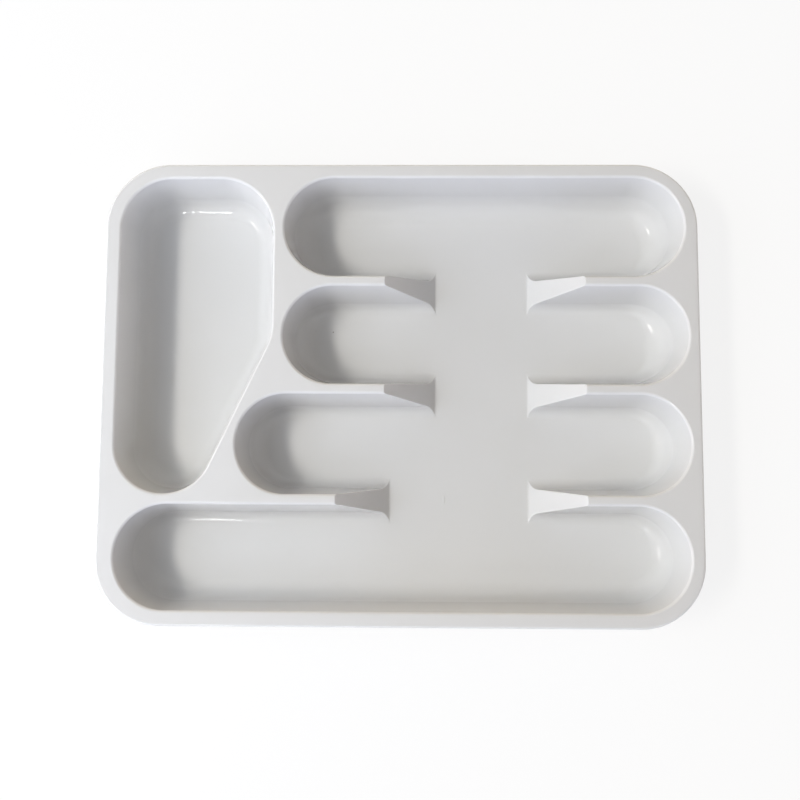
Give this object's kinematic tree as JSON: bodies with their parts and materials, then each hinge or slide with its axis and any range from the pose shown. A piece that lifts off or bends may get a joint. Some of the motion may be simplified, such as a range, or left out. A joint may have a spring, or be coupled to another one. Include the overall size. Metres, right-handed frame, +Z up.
{
  "type": "cutlery tray",
  "caption": "Moulded white cutlery tray for a drawer: rounded rows crossed by a finger channel beside a tall tapering compartment, with a turned-down rim.",
  "frame": {"origin": "middle of the tray's footprint, on the surface that it stands on", "axes": "+X along the tray's length to the right, +Y across it to the rear, +Z up"},
  "size_m": [0.39, 0.3026, 0.045],
  "materials": {
    "tray_plastic": "gloss"
  },
  "bodies": {
    "root": {"rim": "tray_plastic", "deck": "tray_plastic", "tall_compartment": "tray_plastic", "rear_row_left_end": "tray_plastic", "rear_row_right_end": "tray_plastic", "second_row_left_end": "tray_plastic", "second_row_right_end": "tray_plastic", "third_row_left_end": "tray_plastic", "third_row_right_end": "tray_plastic", "front_row_left_end": "tray_plastic", "front_row_right_end": "tray_plastic", "cross_channel": "tray_plastic", "rear_divider_left_ramp": "tray_plastic", "rear_divider_right_ramp": "tray_plastic", "middle_divider_left_ramp": "tray_plastic", "middle_divider_right_ramp": "tray_plastic", "front_divider_left_ramp": "tray_plastic", "front_divider_right_ramp": "tray_plastic"}
  },
  "joints": []
}
